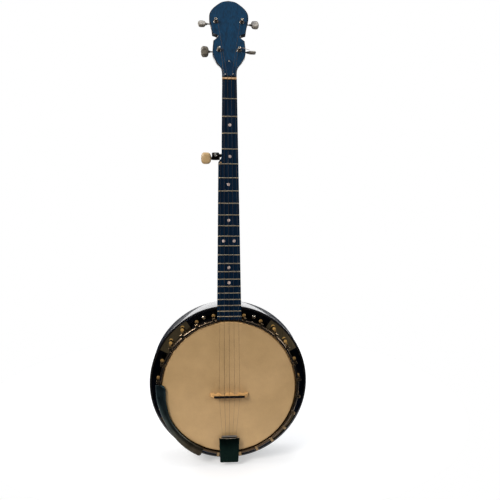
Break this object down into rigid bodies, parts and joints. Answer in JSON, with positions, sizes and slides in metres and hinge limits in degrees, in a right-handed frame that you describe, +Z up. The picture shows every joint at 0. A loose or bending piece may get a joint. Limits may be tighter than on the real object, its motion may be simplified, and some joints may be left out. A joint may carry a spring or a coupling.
{
  "type": "five-string resonator banjo",
  "caption": "Upright five-string resonator banjo: round drum with hooks, flange and armrest, a long fretted neck, geared tuners and a hinged tailpiece cover.",
  "frame": {"origin": "centre of the resonator's flat back", "axes": "+Z up along the neck towards the peghead, +X towards the treble side (the first string), +Y out of the resonator's back; strings and drum head face -Y"},
  "size_m": [0.337, 0.1122, 0.9667],
  "materials": {
    "dark_gloss_wood": "gloss lacquer",
    "ebony": "satin",
    "dark_chrome": "dark polished",
    "cast_metal": "satin",
    "calf_head": "matte translucent",
    "maple": "satin",
    "bone": "satin",
    "black_plastic": "satin",
    "cream_plastic": "gloss",
    "pearloid": "pearl gloss",
    "steel": "polished",
    "chrome": "polished"
  },
  "bodies": {
    "body": {"resonator_side": "dark_gloss_wood", "resonator_back": "dark_gloss_wood", "flange": "dark_chrome", "rim": "cast_metal", "tone_ring": "chrome", "drum_head": "calf_head", "tension_hoop": "chrome", "tension_hook_01": "chrome", "tension_hook_02": "chrome", "tension_hook_03": "chrome", "tension_hook_04": "chrome", "tension_hook_05": "chrome", "tension_hook_06": "chrome", "tension_hook_07": "chrome", "tension_hook_08": "chrome", "tension_hook_09": "chrome", "tension_hook_10": "chrome", "tension_hook_11": "chrome", "tension_hook_12": "chrome", "tension_hook_13": "chrome", "tension_hook_14": "chrome", "tension_hook_15": "chrome", "tension_hook_16": "chrome", "tension_hook_17": "chrome", "tension_hook_18": "chrome", "tension_hook_19": "chrome", "tension_hook_20": "chrome", "tension_hook_21": "chrome", "tension_hook_22": "chrome", "tension_hook_23": "chrome", "tension_hook_24": "chrome", "coordinator_rod": "steel", "armrest": "black_plastic", "neck": "dark_gloss_wood", "fingerboard": "ebony", "nut": "bone", "tuner_housing_first": "chrome", "tuner_housing_second": "chrome", "tuner_housing_third": "chrome", "tuner_housing_fourth": "chrome", "tuner_housing_fifth": "chrome", "bridge": "maple", "bridge_saddle": "ebony", "tailpiece_base": "chrome", "string_fifth": "steel", "string_fourth": "steel", "string_third": "steel", "string_second": "steel", "string_first": "steel"},
    "button_first": {"tuner_button_first": "pearloid"},
    "post_first": {"tuner_post_first": "chrome"},
    "button_second": {"tuner_button_second": "pearloid"},
    "post_second": {"tuner_post_second": "chrome"},
    "button_third": {"tuner_button_third": "pearloid"},
    "post_third": {"tuner_post_third": "chrome"},
    "button_fourth": {"tuner_button_fourth": "pearloid"},
    "post_fourth": {"tuner_post_fourth": "chrome"},
    "button_fifth": {"tuner_button_fifth": "cream_plastic"},
    "post_fifth": {"tuner_post_fifth": "chrome"},
    "cover": {"tailpiece_cover": "dark_chrome"}
  },
  "joints": [
    {"name": "button_first_spin", "type": "hinge", "parent": "body", "child": "button_first", "pos_m": [0.0205, -0.04142, 0.69456], "axis": [1, 0, 0], "continuous": true},
    {"name": "post_first_spin", "type": "hinge", "parent": "body", "child": "post_first", "pos_m": [0.0205, -0.06265, 0.6945], "axis": [0, -0.9666, 0.2563], "continuous": true},
    {"name": "button_second_spin", "type": "hinge", "parent": "body", "child": "button_second", "pos_m": [0.0265, -0.02576, 0.75362], "axis": [1, 0, 0], "continuous": true},
    {"name": "post_second_spin", "type": "hinge", "parent": "body", "child": "post_second", "pos_m": [0.0265, -0.04699, 0.75356], "axis": [0, -0.9666, 0.2563], "continuous": true},
    {"name": "button_third_spin", "type": "hinge", "parent": "body", "child": "button_third", "pos_m": [-0.0265, -0.02576, 0.75362], "axis": [-1, 0, 0], "continuous": true},
    {"name": "post_third_spin", "type": "hinge", "parent": "body", "child": "post_third", "pos_m": [-0.0265, -0.04699, 0.75356], "axis": [0, -0.9666, 0.2563], "continuous": true},
    {"name": "button_fourth_spin", "type": "hinge", "parent": "body", "child": "button_fourth", "pos_m": [-0.0205, -0.04142, 0.69456], "axis": [-1, 0, 0], "continuous": true},
    {"name": "post_fourth_spin", "type": "hinge", "parent": "body", "child": "post_fourth", "pos_m": [-0.0205, -0.06265, 0.6945], "axis": [0, -0.9666, 0.2563], "continuous": true},
    {"name": "button_fifth_spin", "type": "hinge", "parent": "body", "child": "button_fifth", "pos_m": [-0.028, -0.07853, 0.47674], "axis": [-1, 0, 0], "continuous": true},
    {"name": "post_fifth_spin", "type": "hinge", "parent": "body", "child": "post_fifth", "pos_m": [-0.028, -0.08485, 0.48245], "axis": [0, -0.9995, 0.0323], "continuous": true},
    {"name": "tailpiece_cover_hinge", "type": "hinge", "parent": "body", "child": "cover", "pos_m": [0, -0.1036, -0.156], "axis": [1, 0, 0], "range_deg": [0, 70]}
  ],
  "couplings": [
    {"joint": "post_first_spin", "follows": "button_first_spin", "ratio": 0.071429},
    {"joint": "post_second_spin", "follows": "button_second_spin", "ratio": 0.071429},
    {"joint": "post_third_spin", "follows": "button_third_spin", "ratio": 0.071429},
    {"joint": "post_fourth_spin", "follows": "button_fourth_spin", "ratio": 0.071429},
    {"joint": "post_fifth_spin", "follows": "button_fifth_spin", "ratio": 0.071429}
  ]
}
